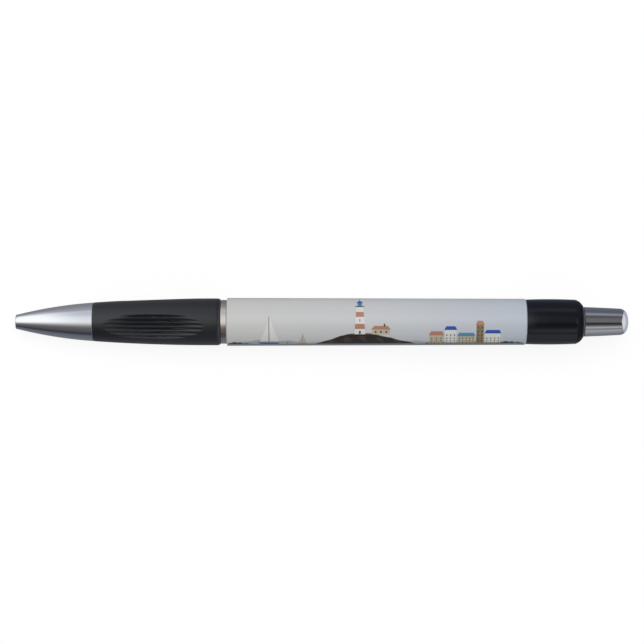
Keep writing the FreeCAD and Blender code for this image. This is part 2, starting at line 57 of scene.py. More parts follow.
# The pen lies on its clip with its nose a little down. Places on it are given in its own terms:
# the station along its axis from the mouth, the radius, and the angle from its top towards the
# near side, in millimetres and degrees.
mm = 0.001
press = next(joint for joint in frame["joints"] if joint["name"] == "button_press")
along = -Vector(press["axis"]).normalized()
across = Vector((0, 1, 0))
up = along.cross(across)


def corners(node):
    return np.array([vertex.co for vertex in frame["nodes"][node].data.vertices])


def middle(node):
    low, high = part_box(node)
    return (low + high) / 2


ballCentre = middle("ball")
mouthOffset = float(((corners("nose_cone") - np.array(ballCentre)) @ np.array(along)).min())
origin = ballCentre + along * mouthOffset


def reach(node):  # first and last station of a CAD piece
    offsets = (corners(node) - np.array(origin)) @ np.array(along) / mm
    return float(offsets.min()), float(offsets.max())


def place(station, angle, radius):
    turn = math.radians(angle)
    outward = up * math.cos(turn) - across * math.sin(turn)
    return origin + along * (station * mm) + outward * (radius * mm)


def inPen(station, aside, height):  # a place by its station, its side and its height over the axis
    return origin + (along * station + across * aside + up * height) * mm


# Points round the axis. The radius can be a function of the station and the angle.
def hoop(station, radius, count):
    radiusAt = radius if callable(radius) else lambda station, angle: radius
    angles = [360 * index / count for index in range(count)]
    return [place(station, angle, radiusAt(station, angle)) for angle in angles]


def riseOf(radius, chord):  # how far an arc of this radius stands over its chord
    return radius - math.sqrt(radius**2 - chord**2 / 4)


def bowed(start, stop, rise, count):  # points on an arc that rises over its chord
    chord = np.subtract(stop, start)
    half = math.hypot(*chord) / 2
    radius = (half**2 + rise**2) / (2 * abs(rise))
    sweep = 2 * math.asin(half / radius)
    normal = np.array([-chord[1], chord[0]]) / (2 * half) * math.copysign(1, rise)
    centre = (np.add(start, stop)) / 2 - normal * (radius - abs(rise))
    points = []
    for step in range(count + 1):
        turn = sweep * (step / count - 0.5)
        ahead = chord / (2 * half) * math.sin(turn) + normal * math.cos(turn)
        points.append(tuple(centre + ahead * radius))
    return points


holding = 0.03  # gap between a rounded corner and the points that hold the faces beside it flat
weldGap = 0.0004  # points closer together than this become one
poleRadius = 1e-6  # a narrower ring is a single point
latheColumns = 192


# A corner of (x, y, radius) becomes an arc, held at both ends so that the long faces shade flat.
def softened(outline, steps=5):
    points = []
    for index, corner in enumerate(outline):
        here = Vector(corner[:2])
        if len(corner) < 3:
            points.append(tuple(here))
            continue
        before = Vector(outline[index - 1][:2]) - here
        after = Vector(outline[(index + 1) % len(outline)][:2]) - here
        half = before.angle(after) / 2
        cut = min(corner[2] / math.tan(half), 0.49 * before.length, 0.49 * after.length)
        radius = cut * math.tan(half)
        inward = (before.normalized() + after.normalized()).normalized()
        centre = here + inward * (radius / math.sin(half))
        first = here + before.normalized() * cut - centre
        last = here + after.normalized() * cut - centre
        hold = min(holding, 0.3 * (before.length - cut), 0.3 * (after.length - cut))
        points.append(tuple(here + before.normalized() * (cut + hold)))
        for step in range(steps + 1):
            share = step / steps
            spoke = first.slerp(last, share) if share not in (0, 1) else (first, last)[step // steps]
            points.append(tuple(centre + spoke.normalized() * radius))
        points.append(tuple(here + after.normalized() * (cut + hold)))
    return points


def wrapRows(form, rows, closed=True):  # skins rings of points; a ring of one point is a pole
    rings = [[form.verts.new(point) for point in row] for row in rows]
    after = rings[1:] + rings[:1] if closed else rings[1:]
    for ring, following in zip(rings, after):
        count = max(len(ring), len(following))
        if count == 1:
            continue
        for index in range(count):
            pair = (index, (index + 1) % count)
            loop = [ring[at % len(ring)] for at in pair]
            loop += [following[at % len(following)] for at in reversed(pair)]
            form.faces.new(list(dict.fromkeys(loop)))
    return rings


def capped(form, rows):  # skins rings of points and closes both ends
    rings = wrapRows(form, rows, closed=False)
    form.faces.new(rings[0])
    form.faces.new(list(reversed(rings[-1])))


def block(form, back, front, wide, heights):
    plan = ((back, -wide / 2), (back, wide / 2), (front, wide / 2), (front, -wide / 2))
    capped(form, [[inPen(station, aside, height) for station, aside in plan] for height in heights])


def turned(outline, columns=latheColumns, closed=True):  # a lathe: outline points of (station, radius)
    form, rows = bmesh.new(), []
    for station, radius in outline:
        pole = not callable(radius) and radius < poleRadius
        rows.append(hoop(station, radius, 1 if pole else columns))
    wrapRows(form, rows, closed)
    return form


def newObject(name, form):
    mesh = bpy.data.meshes.new(name)
    form.to_mesh(mesh)
    form.free()
    made = bpy.data.objects.new(name, mesh)
    bpy.context.collection.objects.link(made)
    return made


def finishPiece(name, form, body, node, materials, sharp=32):
    bmesh.ops.remove_doubles(form, verts=form.verts, dist=weldGap * mm)
    bmesh.ops.recalc_face_normals(form, faces=form.faces)
    piece = newObject(name, form)
    mesh = piece.data
    mesh.shade_smooth()
    mesh.set_sharp_from_angle(angle=math.radians(sharp))
    for material in materials:
        mesh.materials.append(material)
    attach(piece, body)
    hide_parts(node)
    print(name, len(mesh.polygons), "faces")
    return piece


def cutAway(form, cutter):  # takes one closed form out of another
    for source in (form, cutter):
        bmesh.ops.recalc_face_normals(source, faces=source.faces)
    shapes = [newObject("cutting", source) for source in (form, cutter)]
    cut = shapes[0].modifiers.new("cut", "BOOLEAN")
    cut.object = shapes[1]
    cut.operation = "DIFFERENCE"
    cut.solver = "EXACT"
    left = bmesh.new()
    left.from_object(shapes[0], bpy.context.evaluated_depsgraph_get())
    for shape in shapes:  # the object goes with its mesh
        bpy.data.meshes.remove(shape.data)
    return left


def linear(hexColour):
    parts = [int(hexColour[index : index + 2], 16) / 255 for index in (1, 3, 5)]
    bent = [p / 12.92 if p <= 0.04045 else ((p + 0.055) / 1.055) ** 2.4 for p in parts]
    return (*bent, 1.0)


white = (1, 1, 1, 1)


# Adds a node. A socket takes a value, an output or a node, which stands for its first output, and
# the settings are the node's own properties.
def addNode(tree, kind, sockets=None, **settings):
    node = tree.nodes.new("ShaderNode" + kind)
    for name, value in settings.items():
        setattr(node, name, value)
    for name, value in (sockets or {}).items():
        if isinstance(value, bpy.types.Node):
            value = value.outputs[0]
        if isinstance(value, bpy.types.NodeSocket):
            tree.links.new(value, node.inputs[name])
        else:
            node.inputs[name].default_value = value
    return node


def fillRamp(node, stops):
    elements = node.color_ramp.elements
    elements.remove(elements[1])
    elements[0].position = stops[0][0]
    for position, _ in stops[1:]:
        elements.new(position)
    for element, (_, hexColour) in zip(elements, stops):
        element.color = linear(hexColour)


def emptyTree(owner):
    owner.use_nodes = True
    owner.node_tree.nodes.clear()
    return owner.node_tree


def newSurface(name, hexColour, sockets):
    material = bpy.data.materials.new(name)
    tree = emptyTree(material)
    shader = addNode(tree, "BsdfPrincipled", {"Base Color": linear(hexColour), **sockets})
    addNode(tree, "OutputMaterial", {"Surface": shader.outputs["BSDF"]})
    return material, tree, shader


penFrame = Matrix((along, across, up)).transposed()


# The pen's own coordinates in millimetres: X is the station, Z is up from the axis.
def penCoordinates(tree):
    inWorld = addNode(tree, "TexCoord").outputs["Object"]
    seat = {"Location": origin, "Rotation": penFrame.to_euler(), "Scale": (mm, mm, mm)}
    return addNode(tree, "Mapping", {"Vector": inWorld, **seat}, vector_type="TEXTURE")


# A surface's grain: how rough the noise is, how deep for its width, and which band of it spreads
# the gloss.
grainLook = {"roughness": 0.6, "depth": 0.25, "bandLow": 0.3, "bandHigh": 0.7}


def addGrain(tree, shader, size, strength, stretch=(1, 1, 1), detail=3.0):
    scale = [part / size for part in stretch]
    scaled = addNode(tree, "Mapping", {"Vector": penCoordinates(tree), "Scale": scale})
    noise = {"Vector": scaled, "Scale": 1.0, "Detail": detail, "Roughness": grainLook["roughness"]}
    grain = addNode(tree, "TexNoise", noise).outputs["Fac"]
    depth = size * mm * grainLook["depth"]
    bump = addNode(tree, "Bump", {"Height": grain, "Strength": strength, "Distance": depth})
    tree.links.new(bump.outputs["Normal"], shader.inputs["Normal"])
    return grain


def grained(name, hexColour, sockets, low, high, **look):  # its roughness varies from low to high
    material, tree, shader = newSurface(name, hexColour, sockets)
    grain = addGrain(tree, shader, **look)
    band = {"From Min": grainLook["bandLow"], "From Max": grainLook["bandHigh"]}
    spread = addNode(tree, "MapRange", {"Value": grain, **band, "To Min": low, "To Max": high})
    tree.links.new(spread.outputs["Result"], shader.inputs["Roughness"])
    return material


# Turned metal, plated or ground bright: a mirror with faint tool lines round it. They are drawn
# about 0.1 mm wide, coarser than the real ones, so that they show.
def brightPlate(name, hexColour, low, high, lineWidth):
    lines = {"size": lineWidth, "strength": 0.05, "stretch": (1, 0.02, 0.02)}
    return grained(name, hexColour, {"Metallic": 1.0}, low, high, **lines)


# Soft thermoplastic rubber, moulded over a fine spark finish: black, dry, with a wide dull sheen.
# Its grain is drawn about twice as coarse as the real one, so that it shows.
def mouldedRubber():
    sheen = {"IOR": 1.6, "Specular IOR Level": 0.64, "Sheen Weight": 0.04, "Sheen Roughness": 0.5}
    spark = {"size": 0.16, "strength": 0.2, "detail": 4.0}
    return grained("blackMouldedRubber", "#0c0f16", sheen, 0.33, 0.44, **spark)


# Polished black ABS: near mirror gloss over black, with the slight waviness of a moulding.
def glossyAbs(name, hexColour):
    waviness = {"size": 2.6, "strength": 0.05, "stretch": (0.4, 1, 1), "detail": 2.0}
    return grained(name, hexColour, {"IOR": 1.53}, 0.1, 0.15, **waviness)


# Plain moulded plastic for the inner parts: an even satin face, the tool's fine grain in it.
def satinPlastic(name, hexColour, roughness, ior=1.48, clear=0.0):
    sockets = {"IOR": ior, "Transmission Weight": clear}
    return grained(name, hexColour, sockets, roughness - 0.05, roughness + 0.05, size=0.3, strength=0.12)


conePlate = brightPlate("polishedNickelPlate", "#dfe1e6", 0.04, 0.08, 0.09)
bushPlate = brightPlate("polishedNickelBush", "#d8d2ca", 0.08, 0.14, 0.12)
buttonPlate = brightPlate("polishedChromePlate", "#d9dbe0", 0.05, 0.09, 0.1)
pointMetal = brightPlate("turnedNickelSilver", "#cfc9ba", 0.16, 0.24, 0.06)
ballMetal = brightPlate("groundTungstenCarbide", "#a9abb0", 0.12, 0.2, 0.05)
springMetal = brightPlate("drawnSpringSteel", "#b9bbbf", 0.18, 0.28, 0.05)
gripRubber = mouldedRubber()
collarAbs = glossyAbs("polishedBlackAbs", "#0e121a")
clipAbs = glossyAbs("polishedBlackAbsClip", "#0e121a")
coreAbs = satinPlastic("mouldedBlackCoreAbs", "#1d1f22", 0.42)
camAcetal = satinPlastic("mouldedWhiteAcetal", "#e4e3dd", 0.32)
refillPlastic = satinPlastic("extrudedPolypropylene", "#dfe4e8", 0.25, 1.49, 0.55)
inkFill = satinPlastic("blueBallpointInk", "#10204f", 0.2, 1.45)
print("materials made")

# Nose cone: a bulged shell, its mouth rolled in, the spring's seat and the core's socket inside.
nose = {
    "mouthRadius": 1.63,
    "backRadius": 4.41,
    "bulge": 0.4,
    "bulgeSteps": 56,
    "lip": 0.22,
    "boreRadius": 1.2,
    "boreEdge": 0.06,
    "springRoomRadius": 2.35,
    "springRoomEdge": 0.2,
    "springSeat": 6.5,
    "seatEdge": 0.12,
    "socketRadius": 2.88,
    "socketLength": 5.0,
    "socketEdge": 0.1,
    "backEdge": 0.04,
}
noseFront, noseBack = reach("nose_cone")


def makeNoseCone():
    lip, back = (noseFront + nose["lip"], nose["mouthRadius"]), (noseBack, nose["backRadius"])
    outer = bowed(lip, back, nose["bulge"], nose["bulgeSteps"])
    socket = noseBack - nose["socketLength"]
    outline = [
        (noseFront, nose["boreRadius"], nose["boreEdge"]),
        (noseFront, nose["mouthRadius"], nose["lip"]),
        *outer[1:-1],
        (*outer[-1], nose["backEdge"]),
        (noseBack, nose["socketRadius"], nose["socketEdge"]),
        (socket, nose["socketRadius"]),
        (socket, nose["springRoomRadius"], nose["socketEdge"]),
        (nose["springSeat"], nose["springRoomRadius"], nose["springRoomEdge"]),
        (nose["springSeat"], nose["boreRadius"], nose["seatEdge"]),
    ]
    form = turned(softened(outline))
    finishPiece("noseCone", form, "pen_body", "nose_cone", [conePlate])


makeNoseCone()

# Rubber grip: a bulged sleeve with finger pads, each a shallow scoop crossed by soft grooves.
grip = {
    "frontRadius": 4.45,
    "backRadius": 5.36,
    "bulge": 0.25,
    "frontEdge": 0.3,
    "backEdge": 0.9,
    "backDrop": 0.5,
    "boreRadius": 3.53,
    "padStart": 1.75,
    "padLength": 24.4,
    "padDepth": 0.58,
    "padTurn": 14.3,
    "padSpread": 128.0,
    "padReach": 0.9,
    "padSoftness": 0.035,
    "grooveDepth": 0.55,
    "grooveSharpness": 1.15,
    "grooveRound": 0.15,
    "grooveWidth": 0.74,
    "groovePitch": 1.02,
    "grooveCount": 6,
    "grooveFade": 0.06,
    "frontRows": (0.0, 0.02, 0.06, 0.12, 0.2, 0.3),
    "middleStart": 0.42,
    "middleEnd": 1.0,
    "middleRows": 150,
    "backRows": (0.9, 0.75, 0.6, 0.45, 0.3, 0.18, 0.08, 0.0),
    "columns": 480,
}
gripFront, gripBack = reach("grip_sleeve")
bodyFront, bodyBack = gripFront + grip["frontEdge"], gripBack - grip["backEdge"]


def dip(offset, length, sagitta):  # how far an arc lies under its chord, negative past its ends
    radius = (length**2 / 4 + sagitta**2) / (2 * sagitta)
    return math.sqrt(max(radius**2 - offset**2, 0)) - (radius - sagitta)


def rounded(share):  # how far a quarter round has fallen at this share of its length
    return 1 - math.sqrt(max(1 - share**2, 0))


def gripTaper(station):
    share = (station - bodyFront) / (bodyBack - bodyFront)
    return grip["frontRadius"] + (grip["backRadius"] - grip["frontRadius"]) * share


def gripBody(station):  # radius of the sleeve before its pads
    if station < bodyFront:
        fallen = rounded((bodyFront - station) / grip["frontEdge"])
        return grip["frontRadius"] - grip["frontEdge"] * fallen
    if station > bodyBack:
        return grip["backRadius"] - grip["backDrop"] * rounded((station - bodyBack) / grip["backEdge"])
    swell = dip(station - (bodyFront + bodyBack) / 2, bodyBack - bodyFront, grip["bulge"])
    return gripTaper(station) + swell


def gripRadius(station, angle):
    radius = gripBody(station)
    pads = [grip["padTurn"] + grip["padSpread"] * side for side in (0, 1, -1)]
    off = math.radians(min([(angle - pad + 180) % 360 - 180 for pad in pads], key=abs))
    offset = station - gripFront - grip["padStart"] - grip["padLength"] / 2
    if abs(offset) > grip["padLength"] / 2 or abs(off) > grip["padReach"]:
        return radius
    sagitta = grip["padDepth"] + grip["bulge"]
    scoop = dip(offset, grip["padLength"], sagitta)
    floor = gripTaper(station) + grip["bulge"] - scoop
    sideways = floor * math.tan(off)
    number = math.floor(sideways / grip["groovePitch"]) + 0.5
    if abs(number) <= (grip["grooveCount"] - 1) / 2:
        deeper = sagitta + grip["grooveDepth"] - grip["grooveFade"] * abs(number)
        groove = dip(offset, grip["padLength"], deeper) - scoop
        nearness = abs(sideways - number * grip["groovePitch"]) / (grip["grooveWidth"] / 2)
        if nearness < 1:
            wall = max(0, 1 - math.hypot(nearness, grip["grooveRound"]))
            floor -= groove * grip["grooveSharpness"] * wall
    pad = floor / math.cos(off)
    soft = grip["padSoftness"]
    return (radius + pad) / 2 - math.sqrt(((radius - pad) / 2) ** 2 + soft**2)


def makeGrip():
    length, bore = gripBack - gripFront, grip["boreRadius"]
    middleRows = np.linspace(grip["middleStart"], length - grip["middleEnd"], grip["middleRows"])
    backRows = length - np.array(grip["backRows"])
    stations = gripFront + np.concatenate([grip["frontRows"], middleRows, backRows])
    outline = [(gripFront, bore), *[(station, gripRadius) for station in stations], (gripBack, bore)]
    form = turned(outline, grip["columns"])
    finishPiece("gripSleeve", form, "pen_body", "grip_sleeve", [gripRubber], 50)


makeGrip()

# Centre bush: the bright ring that shows between grip and barrel, with its sleeve in the barrel.
bush = {
    "ringRadius": 5.0,
    "ringEdge": 0.15,
    "sleeveRadius": 4.17,
    "sleeveEdge": 0.15,
    "boreRadius": 3.53,
    "frontEdge": 0.08,
    "backEdge": 0.1,
}
barrelFront, barrelBack = reach("barrel")


def makeBush():
    front, back = reach("centre_bush")
    outline = [
        (front, bush["boreRadius"], bush["frontEdge"]),
        (front, bush["ringRadius"], bush["ringEdge"]),
        (barrelFront, bush["ringRadius"], bush["ringEdge"]),
        (barrelFront, bush["sleeveRadius"]),
        (back, bush["sleeveRadius"], bush["sleeveEdge"]),
        (back, bush["boreRadius"], bush["backEdge"]),
    ]
    form = turned(softened(outline))
    finishPiece("centreBush", form, "pen_body", "centre_bush", [bushPlate])


makeBush()

# Collar: a glossy rear housing, its shoulder chamfered down to the button's mouth.
collar = {
    "frontRadius": 5.1,
    "frontEdge": 0.08,
    "backRadius": 5.05,
    "bulge": 0.12,
    "bulgeSteps": 24,
    "chamfer": 1.7,
    "shoulderRadius": 3.0,
    "shoulderSteps": 16,
    "landRadius": 3.57,
    "mouthRadius": 3.51,
    "mouthEdge": 0.02,
    "endWall": 1.2,
    "roomRadius": 3.95,
    "spigotRadius": 4.17,
    "spigotEdge": 0.3,
    "guideRadius": 3.63,
    "guideEdge": 0.1,
    "slotInset": 0.85,
    "slotLength": 5.5,
    "slotWide": 3.3,
    "slotFloor": 4.4,
    "slotReach": 6.0,
}
collarFront, collarBack = barrelBack, reach("collar")[1]


def makeCollar():
    spigot, room, wall = reach("collar")[0], reach("cam_guide")[1], collarBack - collar["endWall"]
    front, low = (collarFront, collar["frontRadius"]), (collarBack, collar["landRadius"])
    back = (collarBack - collar["chamfer"], collar["backRadius"])
    side = bowed(front, back, collar["bulge"], collar["bulgeSteps"])
    rise = riseOf(collar["shoulderRadius"], math.dist(back, low))
    outline = [
        (spigot, collar["guideRadius"], collar["guideEdge"]),
        (spigot, collar["spigotRadius"], collar["spigotEdge"]),
        (collarFront, collar["spigotRadius"]),
        (*front, collar["frontEdge"]),
        *side[1:-1],
        *bowed(back, low, rise, collar["shoulderSteps"]),
        (collarBack, collar["mouthRadius"], collar["mouthEdge"]),
        (wall, collar["mouthRadius"]),
        (wall, collar["roomRadius"]),
        (room, collar["roomRadius"]),
        (room, collar["guideRadius"]),
    ]
    slotBack = reach("clip")[1] - collar["slotInset"]
    heights = (-collar["slotFloor"], -collar["slotReach"])
    slot = bmesh.new()
    block(slot, slotBack, slotBack - collar["slotLength"], collar["slotWide"], heights)
    form = cutAway(turned(softened(outline)), slot)
    finishPiece("collarShell", form, "pen_body", "collar", [collarAbs])


makeCollar()

# Push button: a drawn cap, slightly tapered, its end rounded to a low dome.
button = {
    "radius": 3.43,
    "endRadius": 3.02,
    "bulge": 0.03,
    "bulgeSteps": 30,
    "round": 1.9,
    "roundRadius": 1.88,
    "roundSteps": 18,
    "dome": 0.32,
    "domeRadius": 1.8,
    "domeSteps": 12,
    "boreRadius": 2.52,
    "boreLength": 8.35,
}


def makeButton():
    front, back = reach("button")
    rim, wide = (back - button["round"], button["endRadius"]), button["domeRadius"]
    domeAt, boreEnd = back - button["dome"], front + button["boreLength"]
    side = bowed((front, button["radius"]), rim, button["bulge"], button["bulgeSteps"])
    rise = riseOf(button["roundRadius"], math.dist(rim, (domeAt, wide)))
    shoulder = bowed(side[-1], (domeAt, wide), rise, button["roundSteps"])
    dome = bowed((domeAt, wide), (domeAt, -wide), button["dome"], 2 * button["domeSteps"])
    outline = [
        (front, button["boreRadius"]),
        *side,
        *shoulder[1:],
        *dome[1 : button["domeSteps"]],
        (back, 0),
        (boreEnd, 0),
        (boreEnd, button["boreRadius"]),
    ]
    finishPiece("pushButton", turned(outline), "push_button", "button", [buttonPlate])


makeButton()

# Barrel: a tapered tube with a print all round it. The print is a quiet harbour coast under a pale
# sky, drawn flat as (millimetres along the barrel, millimetres above the waterline), back to front.
barrel = {
    "frontRadius": 5.48,
    "backRadius": 5.26,
    "boreRadius": 4.2,
    "backEdge": 0.45,
    "waterline": 67.0,
    "degreesPerMm": 10.6,
    "columns": 144,
    "skyStops": [(0.0, "#c7c7c5"), (0.5, "#c3c5c8"), (1.0, "#b7bec8")],
}
inkColours = {
    "farHill": "#a3aaae",
    "water": "#868d90",
    "ripple": "#6c7375",
    "rock": "#2a2320",
    "rockFace": "#43352c",
    "grass": "#565a45",
    "tree": "#343a38",
    "pale": "#d6d5d0",
    "wall": "#b9ae98",
    "timber": "#857453",
    "rust": "#a97c68",
    "blue": "#2b4fa0",
    "teal": "#4f87a6",
    "dark": "#33363a",
}
edgeAt = barrelBack - barrel["backEdge"]
printed = []


def barrelRadius(station):
    share = (station - barrelFront) / (edgeAt - barrelFront)
    return barrel["frontRadius"] + (barrel["backRadius"] - barrel["frontRadius"]) * share


def drawn(ink, *points):  # its corners run anticlockwise, as the cutter below needs them
    turns = zip(points, points[1:] + points[:1])
    area = sum(first[0] * second[1] - second[0] * first[1] for first, second in turns)
    printed.append((ink, points if area > 0 else points[::-1]))


def slab(ink, left, low, right, high):
    drawn(ink, (left, low), (right, low), (right, high), (left, high))


def ridge(ink, first, last, base, height, bumps, seed):  # a skyline of hills or trees
    points = [(first, base), (last, base)]
    for step in range(bumps, -1, -1):
        share = step / bumps
        swell = 0.6 + 0.25 * math.sin(5.1 * share + seed) + 0.15 * math.sin(23.7 * share + 2 * seed)
        rise = height * swell * math.sin(math.pi * share) ** 0.4
        points.append((first + (last - first) * share, base + rise))
    drawn(ink, *points)


def boat(at, hull, size, sail):  # a small sloop with its mainsail and jib
    def scaled(ink, *points):
        drawn(ink, *[(at + size * x, size * y) for x, y in points])

    scaled(hull, (-2.1, 0.62), (-1.5, 0), (1.6, 0), (2.0, 0.55))
    scaled("dark", (-0.05, 0.58), (0.05, 0.58), (0.05, 6.0), (-0.05, 6.0))
    scaled(sail, (0.13, 0.95), (1.8, 1.05), (0.13, 5.7))
    scaled(sail, (-0.13, 0.95), (-0.13, 5.0), (-1.7, 0.95))


houseLook = {"sill": 0.5, "eavesOver": 0.18, "hip": 0.3, "storey": 0.95, "pane": 0.26, "paneHigh": 0.42}


def house(left, wide, eaves, roof, wall, roofInk, windows):
    slab(wall, left, houseLook["sill"], left + wide, eaves)
    over, hip, storey = houseLook["eavesOver"], houseLook["hip"] * roof, houseLook["storey"]
    right, top = left + wide, eaves + roof
    drawn(roofInk, (left - over, eaves), (right + over, eaves), (right - hip, top), (left + hip, top))
    for row in range(max(1, int((eaves - 0.7) / storey))):
        for index in range(windows):
            start = left + wide * (index + 0.5) / windows - houseLook["pane"] / 2
            low = storey * (row + 1)
            slab("dark", start, low, start + houseLook["pane"], low + houseLook["paneHigh"])


def cliff(first, last, heights):  # a dark rock whose skyline follows the heights
    step = (last - first) / (len(heights) + 1)
    skyline = [(first + step * (index + 1), height) for index, height in enumerate(heights)]
    drawn("rock", (last, 0), *reversed(skyline), (first, 0))
    for index in range(1, len(skyline) - 1, 2):  # ledges under it, uneven in width and fall
        (left, high), (right, low) = skyline[index - 1], skyline[index]
        slip = 0.5 * math.sin(2.3 * index)
        drawn(
            "rockFace",
            (left + 0.4 + slip, 0.78 * high),
            (right - 0.3, 0.86 * low),
            (right + 0.6 + slip, (0.42 + 0.2 * slip) * low),
            (right - 0.4 * slip, 0.18 * low),
            (left + 0.9, (0.4 - 0.3 * slip) * high),
        )
    return skyline


def lighthouse(at, foot, height):
    def side(hand, share):
        return (at + hand * (1.25 - 0.5 * share), foot + height * share)

    drawn("pale", side(-1, 0), side(1, 0), side(1, 1), side(-1, 1))
    for low, high in ((0.2, 0.38), (0.62, 0.8)):
        drawn("rust", side(-1, low), side(1, low), side(1, high), side(-1, high))
    top = foot + height
    slab("dark", at - 0.2, foot + 0.1, at + 0.2, foot + 0.85)
    slab("dark", at - 0.1, foot + 0.46 * height, at + 0.1, foot + 0.54 * height)
    slab("dark", at - 1.05, top, at + 1.05, top + 0.25)
    slab("teal", at - 0.52, top + 0.25, at + 0.52, top + 1.3)
    slab("dark", at - 0.05, top + 0.25, at + 0.05, top + 1.3)
    drawn(
        "blue",
        (at - 0.8, top + 1.3),
        (at + 0.8, top + 1.3),
        (at + 0.45, top + 1.85),
        (at, top + 2.2),
        (at - 0.45, top + 1.85),
    )
    slab("dark", at - 0.05, top + 2.2, at + 0.05, top + 3.1)


def drawPrint():
    length, inset = edgeAt - barrelFront, 0.1
    ridge("farHill", 0.3, 25.0, 0.0, 2.0, 40, 0.4)
    ridge("farHill", 38.0, length - 0.3, 0.0, 2.3, 40, 2.2)
    low = [(length * step / 30, -6.2 - 0.5 * math.sin(1.9 * step)) for step in range(31)]
    shore = [(min(max(at, inset), length - inset), down) for at, down in low]
    drawn("water", *shore, (length - inset, 0), (inset, 0))
    for index in range(64):
        at = 1.6 + (index * 7.31) % (length - 5.0)
        down = -0.35 - 0.085 * index
        half = 0.8 + 0.35 * math.sin(index * 2.7)
        drawn("ripple", (at - half, down), (at, down - 0.07), (at + half, down), (at, down + 0.07))
    ridge("tree", 0.2, 5.6, 0.0, 1.1, 24, 0.7)
    boat(9.6, "blue", 1.25, "pale")
    boat(17.2, "rust", 0.6, "wall")
    drawn("rust", (13.5, -0.1), (14.1, -0.1), (13.95, 0.7), (13.65, 0.7))
    slab("dark", 13.7, 0.7, 13.9, 0.95)
    skyline = cliff(20.0, 43.0, (1.1, 1.9, 2.9, 3.3, 3.4, 3.35, 3.3, 2.7, 2.4, 1.5, 1.0))
    crown = skyline[2:9]
    grass = [(at, high + 0.28 * math.sin(math.pi * index / 6)) for index, (at, high) in enumerate(crown)]
    drawn("grass", *[(at, high - 0.06) for at, high in crown], *reversed(grass[1:-1]))
    lighthouse(30.2, 3.35, 6.6)
    slab("wall", 33.0, 3.3, 37.0, 4.5)
    drawn("rust", (32.7, 4.5), (37.3, 4.5), (36.5, 5.4), (33.5, 5.4))
    slab("dark", 35.6, 5.2, 35.95, 5.9)
    for at in (33.6, 34.8, 36.0):
        slab("dark", at, 3.7, at + 0.36, 4.2)
    slab("timber", 45.2, 0.12, 64.4, 0.6)
    for index in range(21):
        slab("dark", 45.4 + 0.9 * index, -0.4, 45.6 + 0.9 * index, 0.36)
    house(46.0, 3.2, 3.0, 1.1, "wall", "rust", 3)
    house(49.5, 2.6, 4.4, 0.9, "pale", "blue", 3)
    house(52.4, 3.9, 2.7, 1.0, "wall", "teal", 5)
    house(56.6, 1.7, 5.6, 1.0, "timber", "rust", 2)
    house(58.6, 3.5, 3.5, 0.9, "pale", "blue", 4)
    ridge("tree", 62.2, length - 0.2, 0.0, 1.5, 34, 1.3)


# Printed and varnished plastic: even ink under a clear soft gloss that takes broad highlights.
def printInk(name, hexColour):
    material, tree, shader = newSurface(name, hexColour, {"IOR": 1.5, "Roughness": 0.36})
    addGrain(tree, shader, size=0.5, strength=0.04)
    return material, tree, shader


def skyInk():
    material, tree, shader = printInk("varnishedPrintSky", "#c6c6c6")
    station = addNode(tree, "SeparateXYZ", {0: penCoordinates(tree)}).outputs["X"]
    run = {"Value": station, "From Min": barrelFront, "From Max": barrelBack}
    ramp = addNode(tree, "ValToRGB", {0: addNode(tree, "MapRange", run)})
    fillRamp(ramp, barrel["skyStops"])
    tree.links.new(ramp.outputs[0], shader.inputs["Base Color"])
    return material


# Lays the drawn shapes over one another with the lathe's lines between them, and wraps the result.
def wrapPrint(form):
    columns, perMm = barrel["columns"], barrel["degreesPerMm"]
    length = edgeAt - barrelFront
    flat, lines, shapes = [], [], []
    for index in range(columns + 1):
        height = (barrel["waterline"] + 180 - 360 * index / columns) / perMm
        flat += [Vector((0, height)), Vector((length, height))]
        lines.append((2 * index, 2 * index + 1))
    for ink, points in printed:
        shapes.append(list(range(len(flat), len(flat) + len(points))))
        flat += [Vector(point) for point in points]
    spots, _, faces, _, _, sources = geometry.delaunay_2d_cdt(flat, lines, shapes, 0, 1e-5, True)
    names = list(inkColours)
    vertices = []
    for u, v in spots:
        station, angle = barrelFront + u, barrel["waterline"] - v * perMm
        vertices.append(form.verts.new(place(station, angle, barrelRadius(station))))
    for corner, source in zip(faces, sources):
        face = form.faces.new([vertices[index] for index in corner])
        face.material_index = names.index(printed[max(source)][0]) + 1 if source else 0


def makeBarrel():
    radius, edge = barrel["backRadius"], barrel["backEdge"]
    outline = [
        *bowed((edgeAt, radius), (barrelBack, radius - edge), edge * (1 - math.sqrt(0.5)), 8),
        (barrelBack, barrel["boreRadius"]),
        (barrelFront, barrel["boreRadius"]),
        (barrelFront, barrel["frontRadius"]),
    ]
    form = turned(outline, barrel["columns"], closed=False)
    drawPrint()
    wrapPrint(form)
    inks = [skyInk()]
    for name, tone in inkColours.items():
        inks.append(printInk("varnishedPrint" + name[0].upper() + name[1:], tone)[0])
    piece = finishPiece("barrelTube", form, "pen_body", "barrel", inks)
    # the printed wall is one smooth turn, whatever triangles its shapes are made of
    mesh = piece.data
    normals = [corner.vector.copy() for corner in mesh.corner_normals]
    for polygon in mesh.polygons:
        if abs(polygon.normal.dot(along)) > 0.3:
            continue
        for index in polygon.loop_indices:
            out = mesh.vertices[mesh.loops[index].vertex_index].co - origin
            out -= along * out.dot(along)
            if out.length > (radius - 0.001) * mm:
                normals[index] = out.normalized()
    mesh.normals_split_custom_set(normals)


makeBarrel()

# Return spring: round wire with closed end coils.
spring = {
    "radius": 1.96,
    "wireRadius": 0.18,
    "turns": 9.0,
    "endTurns": 1.25,
    "endPitch": 1.05,
    "turnSteps": 36,
    "wireSides": 12,
    "keep": 0.594,
}


